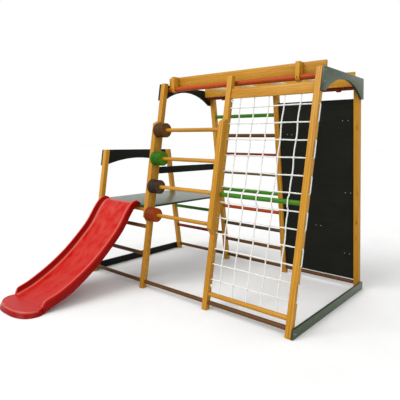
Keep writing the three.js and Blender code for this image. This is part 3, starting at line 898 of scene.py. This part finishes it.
HITCH_RADIUS = 3.3 * MM
HITCH_REACH = 5.6 * MM  # from the column's middle to the hitch's
hitches = []
for row in range(NET_ROWS):
    for x in NET_COLUMNS_X:
        z = row_height(row)
        centre = net_point(x + sway(x, z), z)
        path = []
        for k in range(27):
            turn = math.radians(-60 + 480 * k / 26)
            shift = (k / 26 - 0.5) * 8.5 * MM
            around = PLANE_OUT * math.cos(turn) + PLANE_UP * math.sin(turn)
            path.append(centre + X * shift + around * HITCH_REACH)
        hitches.append(rope(path, HITCH_RADIUS, lay=16 * MM, sides=9))
for z in KNOT_HEIGHTS:
    centre = net_point(net_left + POST_HALF + 9 * MM, z)
    stub = even_path([net_point(net_left + 8 * MM, z), centre], 3 * MM)
    hitches.append(rope(stub, ROPE_RADIUS * 0.9))
    path = []
    for k in range(48):
        t = 2 * math.pi * k / 48
        a, b, c = math.sin(t) + 2 * math.sin(2 * t), math.cos(t) - 2 * math.cos(2 * t), -math.sin(3 * t)
        path.append(centre + X * a * 2.3 * MM + PLANE_UP * b * 2.9 * MM + PLANE_OUT * (c * 3.2 * MM))
    hitches.append(rope(path, 3.6 * MM, lay=18 * MM, closed=True, sides=9))
rope_piece("rope_net_knots", hitches)

# ---- slide
SLIDE_SKIN = 5  # millimetres, as all of the slide's sizes
# Along the path, from the middle of the A-frames: y, z, height of the side walls above the
# riding surface, depth of the skirt below it, half the width, and how much wider the skirt's foot is. From
# LIP_FROM on, the two widths come from LIP_TOP and LIP_FOOT.
SLIDE_PATH = [
    (-403, 599, 2, 5.4, 190, 0), (-417, 599, 15, 5.4, 195, 0), (-441, 598, 28, 5.4, 198, 0),
    (-470, 584, 37, 8, 199, 0), (-508, 543, 42, 8, 200, 0), (-594, 426, 43, 8, 200, 0),
    (-690, 332, 43, 9, 200, 0), (-815, 228, 43, 11, 200, 0), (-930, 153, 43, 15, 199, 0),
    (-1040, 96, 42, 20, 198, 0), (-1120, 64, 40, 20, 195, 0), (-1180, 48, 38, 25, 192, 0),
    (-1194, 44.5, 37, 27, 190.5, 0), (-1201, 43.3, 33, 29, 189.5, 0), (-1214, 41, 17, 36, 186, 2),
    (-1219.5, 40, 8, 38, 183.5, 5), (-1222, 39.5, 1, 39.5, 178, 8), (-1232, 38.5, 1, 38.5, 185, 8),
    (-1250, 37.5, 1, 37.5, 189, 9), (-1280, 36.5, 1, 36.5, 182, 14), (-1305, 36, 1, 36, 166, 18),
    (-1368.2, 36, 1, 36, 20, 5),
]
WALL_END, HOLLOW_START = 16, 3  # rows of the path
LIP_FROM = -1250
LIP_TOP = (189, 103, 2.2)  # a rounded outline: half its width, its length past LIP_FROM, and its squareness
LIP_FOOT = (198, 118.4, 2.5)
LIP_SOFT = 0.2  # how much of the lip's side its soft edge takes, as a share
LIP_LIFT = 0.2  # least height of the lip's top over its underside, at the very front
LIP_SOLID_FROM = -1345
NOSE_HALF = 90  # where the lip is narrower, every ring is divided alike
SLIDE_PIVOT_Y = -830
SLIDE_SKEW = 0.04  # it was set down a little askew


def monotone(xs, ys, at):
    """Smooth interpolation that never overshoots its points."""
    step = np.diff(xs)
    rise = np.diff(ys) / step
    slope = np.zeros(len(xs))
    slope[0], slope[-1] = rise[0], rise[-1]
    for k in range(1, len(xs) - 1):
        if rise[k - 1] * rise[k] > 0:
            slope[k] = 2 / (1 / rise[k - 1] + 1 / rise[k])
    k = np.clip(np.searchsorted(xs, at) - 1, 0, len(step) - 1)
    t = (at - xs[k]) / step[k]
    start = ys[k] * (1 + 2 * t) * (1 - t) ** 2 + step[k] * slope[k] * t * (1 - t) ** 2
    return start + ys[k + 1] * t**2 * (3 - 2 * t) + step[k] * slope[k + 1] * t**2 * (t - 1)


def corner(centre, radius, start, end, count=5):
    """Points on an arc, its angles in degrees."""
    turns = [math.radians(start + (end - start) * k / (count - 1)) for k in range(count)]
    return [(centre[0] + radius * math.cos(t), centre[1] + radius * math.sin(t)) for t in turns]


def trough_half(wall, skirt, half, flare):
    """The right half of the trough's upper outline, from the foot of its skirt to its middle."""
    tall = clamp((wall - 1) / 15)  # 0 on the flat lip, 1 beside a full wall
    outline = [(half + flare * (1 - f), -skirt + (wall + skirt) * f) for f in (0, 0.22, 0.44, 0.66)]
    for inset, drop in ((0, 13), (2, 8.2), (5, 4.2), (9, 1.3), (13, 0)):
        flat = drop * 4 / 13  # the lip's small round edge
        outline.append((half - inset * (0.3 + 0.7 * tall), wall - flat - (drop - flat) * tall))
    inner = half - 6 - 10 * tall
    round_in = 0.6 + 4.9 * tall
    outline += corner((inner, wall - round_in), round_in, 90, 180)
    foot = inner - round_in - 5 * tall
    shelf = 5.0 * tall
    outline += [(foot, shelf + 6 * tall), (foot - 0.2 - 1.8 * tall, shelf + 2.2 * tall),
                (foot - 5 * tall - 0.5, shelf), (foot - 11 * tall - 1, shelf * 0.9),
                (foot - 14 * tall - 1.5, shelf * 0.45), (foot - 17 * tall - 2, 0.5 * tall),
                (foot - 22 * tall - 4, 0.0)]
    outline += [((foot - 26) * f, 0.0) for f in (0.75, 0.5, 0.25, 0.0)]
    return [(x, max(up, -skirt)) for x, up in outline]


def underside_half(wall, skirt, half, solid):
    """The right half of the hollow below the skin. On a solid stretch it lies flat along the skirt's foot."""
    skin = SLIDE_SKIN
    outline = [(half - skin + 0.3, -skirt), (half - skin, max(wall - skin - 13, -skin)),
               (half - skin - 5, max(wall - skin - 6, -skin)), (half - 17, max(wall - skin, -skin)),
               (half - 24, min(8.0, max(wall - 14, -skin))), (half - 32, -skin),
               (half * 0.5, -skin), (0, -skin)]
    return [(x, -skirt if solid else max(up, -skirt)) for x, up in outline]


# by place in the outline: edges painted lighter, partly as wear and partly as painted highlight, and sides
# darkened as painted shade
RIDGES = {7: 0.5, 8: 1.0, 9: 1.0, 10: 0.6, 16: 0.7, 17: 1.0, 18: 0.5}
SHADED_PLACES = {0: 1.0, 1: 1.0, 2: 1.0, 3: 0.9, 4: 0.8, 5: 0.5, 12: 0.4, 13: 0.8, 14: 0.9, 15: 0.5}


def lip_level(x, y, half, long, power):
    """1 on a rounded outline, less inside it, more outside."""
    return ((abs(x) / half) ** power + ((LIP_FROM - y) / long) ** power) ** (1 / power)


def lip_half(y, half, long, power):
    """Half the width of a rounded outline at y."""
    return half * max(0.0, 1 - ((LIP_FROM - y) / long) ** power) ** (1 / power)


def lip_rise(x, y):
    """How far up the lip's side a point is: 0 at the foot, 1 on the top edge, more on the flat."""
    foot = lip_level(x, y, *LIP_FOOT)
    return max(0.0, 1 - foot) / max(1e-6, lip_level(x, y, *LIP_TOP) - foot)


def soft_lip(outline, rises, wall, skirt):
    """An upper outline of the lip, raised from its foot to its soft edge."""
    raised = [(outline[0][0], -skirt)]
    for i, ((x, up), rise) in enumerate(zip(outline[1:], rises[1:]), 1):
        top = max(up, 0.0) if i > 5 else wall
        over = max(0.0, rise - 1 + LIP_SOFT)
        share = 1.0 if rise > 1 + LIP_SOFT else rise - over**2 / (4 * LIP_SOFT)
        raised.append((x, -skirt + LIP_LIFT + (skirt + top - LIP_LIFT) * share))
    return raised


def slide_rings():
    """Cross-sections down the slide, each with its distance along it, place, slope and outlines."""
    table = np.array(SLIDE_PATH, float)
    lengths = np.concatenate([[0], np.cumsum(np.hypot(np.diff(table[:, 0]), np.diff(table[:, 1])))])
    at = set(np.arange(0, lengths[-1], 9.0).tolist()) | set(lengths.tolist())
    notch = lengths[WALL_END]
    at |= {notch + d for d in (-14, -10, -6, -4, -1.5, 1.5, 3, 4.5, 6, 14)}
    at |= {lengths[-1] - d for d in (0.3, 1, 2, 3.5, 5, 7, 9, 11, 13, 15, 17, 20, 23, 31, 40, 49)}
    at = np.array(sorted(at))
    y, z, wall, skirt, half, flare = (monotone(lengths, table[:, k], at) for k in range(6))
    slope = np.arctan2(np.gradient(z), -np.gradient(y))  # downhill is negative
    slope *= 1 - np.clip((at - notch) / 8, 0, 1)
    skirt = np.minimum(skirt, (z - 0.4) / np.cos(slope))
    shares = None
    for k in range(len(at)):
        on_lip = y[k] < LIP_FROM - 4
        if on_lip:
            half[k] = lip_half(y[k], *LIP_TOP)
            flare[k] = lip_half(y[k], *LIP_FOOT) - half[k]
        solid = at[k] < lengths[HOLLOW_START] * 0.98 or y[k] < LIP_SOLID_FROM
        wide, foot_half = max(half[k], NOSE_HALF), half[k] + flare[k]
        upper = trough_half(wall[k], skirt[k], wide, foot_half - wide if on_lip else flare[k])
        under = underside_half(wall[k], skirt[k], wide, solid)
        if half[k] < NOSE_HALF:
            if shares is None:
                shares = [[x / foot_half for x, up in outline] for outline in (upper, under)]
            upper, under = ([(foot_half * share, up) for share, (x, up) in zip(shares[i], outline)]
                            for i, outline in enumerate((upper, under)))
        rises = [lip_rise(x, y[k]) for x, up in upper] if on_lip else None
        if on_lip:
            upper = soft_lip(upper, rises, wall[k], skirt[k])
        yield at[k], y[k], z[k], slope[k], wall[k], half[k], upper, under, rises


def slide_mesh():
    points, faces, grain, ridden_and_sheen, edge, side_shade = [], [], [], [], [], []
    rings = list(slide_rings())
    for at, y, z, slope, wall, half, upper, under, rises in rings:
        ring = upper + [(-x, up) for x, up in reversed(upper[:-1])]
        top_count = len(ring)
        ring += [(-x, up) for x, up in under] + list(reversed(under[:-1]))
        centre = SLIDE_X + SLIDE_SKEW * (SLIDE_PIVOT_Y - y) * MM
        for i, (x, up) in enumerate(ring):
            out_y, out_z = math.sin(slope) * up, math.cos(slope) * up
            points.append((centre + x * MM, MID_Y + (y + out_y) * MM, (z + out_z) * MM))
            grain.append((at * MM, x * MM, up * MM))
            on_top = i < top_count and abs(x) < half - 40 and wall > 3
            ridden_and_sheen.append(1.0 - 0.75 * at / rings[-1][0] if on_top else 0.0)  # most worn near the top, where the painted reflection is strongest too
            place = min(i, top_count - 1 - i)  # counted from the foot of the nearer skirt
            if rises:
                rise = rises[place] if place >= 0 else 0.0
                # a painted highlight along the lip's top edge, and painted shade down its sides
                edge.append(max(0.0, 1 - abs(rise - 1) / 0.3))
                side_shade.append(clamp((0.95 - rise) / 0.25))
            else:
                # wall ridges painted lighter, for wear and as painted highlight
                edge.append(RIDGES.get(place, 0.0) if wall > 8 or 6 < place < 11 else 0.0)
                # painted shade on the outer sides and the inner wall band
                side_shade.append(SHADED_PLACES.get(place, 0.0) if wall > 8 or place < 5 else 0.0)
    count = len(ring)
    for k in range(len(rings) - 1):
        a, b = k * count, (k + 1) * count
        faces += [(a + i, a + (i + 1) % count, b + (i + 1) % count, b + i) for i in range(count)]
    last = len(points) - count
    faces += [tuple(range(count - 1, -1, -1)), tuple(range(last, last + count))]
    mesh = new_mesh("slide", points, faces)
    mesh.validate()
    return mesh, {"grain": np.array(grain), "ridden_and_sheen": ridden_and_sheen, "edge": edge, "side_shade": side_shade}


SLIDE_X = (middle("post_front_1").x + middle("post_front_2").x) / 2
mesh, values = slide_mesh()
dress("slide_moulded", mesh, "red_plastic", ["slide"], values=values, smooth=50)

# ---- screws
SCREW_RADIUS = 4.2 * MM
SCREW_DOME = 1.7 * MM


def screw(place, out, radius=SCREW_RADIUS):
    """A domed head with a six-sided socket, standing on a surface."""
    dome = SCREW_DOME * radius / SCREW_RADIUS
    profile = [(-0.5 * MM, 0), (-0.5 * MM, radius), (0.3 * MM, radius), (dome * 0.7, radius * 0.8),
               (dome, radius * 0.52), (dome, radius * 0.42), (dome * 0.25, radius * 0.40), (dome * 0.15, 0)]
    made = turned(profile, place, out, 24)
    axis = Vector(out).normalized()
    across = axis.orthogonal().normalized()
    for vertex in made.verts:
        offset = vertex.co - Vector(place)
        height = offset.dot(axis)
        flat = offset - axis * height
        if 0.1 * radius < flat.length < radius * 0.45:
            turn = math.atan2(flat.dot(across), flat.dot(axis.cross(across)))
            wedge = (turn % (math.pi / 3)) - math.pi / 6
            vertex.co = Vector(place) + axis * height + flat * (math.cos(math.pi / 6) / math.cos(wedge))
    return made


def outer_face(node, out):
    """X of a board's outer face, and its lowest and highest z."""
    low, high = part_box(node)
    return high.x if out > 0 else low.x, low.z, high.z


screws = []
for node, out in (("right_arch_board", 1), ("left_arch_board", -1), ("tower_arch_board", -1)):
    face, low_z, high_z = outer_face(node, out)
    for z in (high_z - 19 * MM, high_z - 77 * MM):
        for side in (FRONT, BACK):
            screws.append(screw((face, leaning_y(side, z, 4 * MM), z), (out, 0, 0)))
for node, out in (("floor_tie_right", 1), ("floor_tie_left", -1), ("guard_board", -1)):
    face, low_z, high_z = outer_face(node, out)
    z = (low_z + high_z) / 2
    for side in (FRONT, BACK):
        for shift in (-9 * MM, 9 * MM):
            screws.append(screw((face, leaning_y(side, z, shift), z + shift / 2), (out, 0, 0)))
dress("frame_screws", to_mesh(joined(screws)), "zinc_steel")

CHALK_PAIRS = [(0.822, 1.205), (0.400, 1.115), (0.838, 0.714), (0.612, 0.447), (0.830, 0.263)]
chalk_screws = []
for x, z in CHALK_PAIRS:
    for shift in (-19 * MM, 19 * MM):
        place = (x + shift, leaning_y(BACK, z, -CHALK_T / 2 * math.hypot(1, LEAN)), z)
        chalk_screws.append(screw(place, (0, -1, -LEAN), 3.2 * MM))
dress("chalk_board_screws", to_mesh(joined(chalk_screws)), "zinc_steel")

# ---- floor and light
def add_floor():
    size = 60.0
    corners_xy = [(-size, -size), (size, -size), (size, size), (-size, size)]
    mesh = new_mesh("floor", [(x, y, -0.5 * MM) for x, y in corners_xy], [(0, 1, 2, 3)])
    floor = bpy.data.objects.new("floor", mesh)
    link(floor)
    s = Shader("pale_floor")
    spot = s.noise(s.node("ShaderNodeTexCoord").outputs["Object"], 3, 3)
    s.surface(base_color=s.mix(spot, (0.60, 0.60, 0.598, 1), (0.63, 0.63, 0.628, 1)), roughness=0.85)
    mesh.materials.append(s.material)


def add_lamp(name, kind, towards, energy, place=(0, 0, 0), **settings):
    """A lamp that stands towards that direction and shines back along it."""
    data = bpy.data.lights.new(name, kind)
    data.energy = energy
    for key, value in settings.items():
        setattr(data, key, value)
    lamp = bpy.data.objects.new(name, data)
    lamp.location = place
    lamp.rotation_euler = Vector(towards).to_track_quat("Z", "Y").to_euler()
    link(lamp)


add_floor()
world = bpy.data.worlds.new("studio")
world.use_nodes = True
world.node_tree.nodes["Background"].inputs["Color"].default_value = (1.0, 1.0, 1.0, 1.0)
world.node_tree.nodes["Background"].inputs["Strength"].default_value = 1.0
bpy.context.scene.world = world
add_lamp("key", "SUN", (-0.28, -0.72, 0.62), 2.3, angle=math.radians(40))
add_lamp("fill", "SUN", (0.80, -0.42, 0.42), 1.05, angle=math.radians(60))
add_lamp("strip", "AREA", (-0.6, -1.3, 3.2), 25, place=(-0.6, -1.6, 3.6), shape="DISK", size=1.2)
bpy.context.scene.view_settings.view_transform = "Standard"
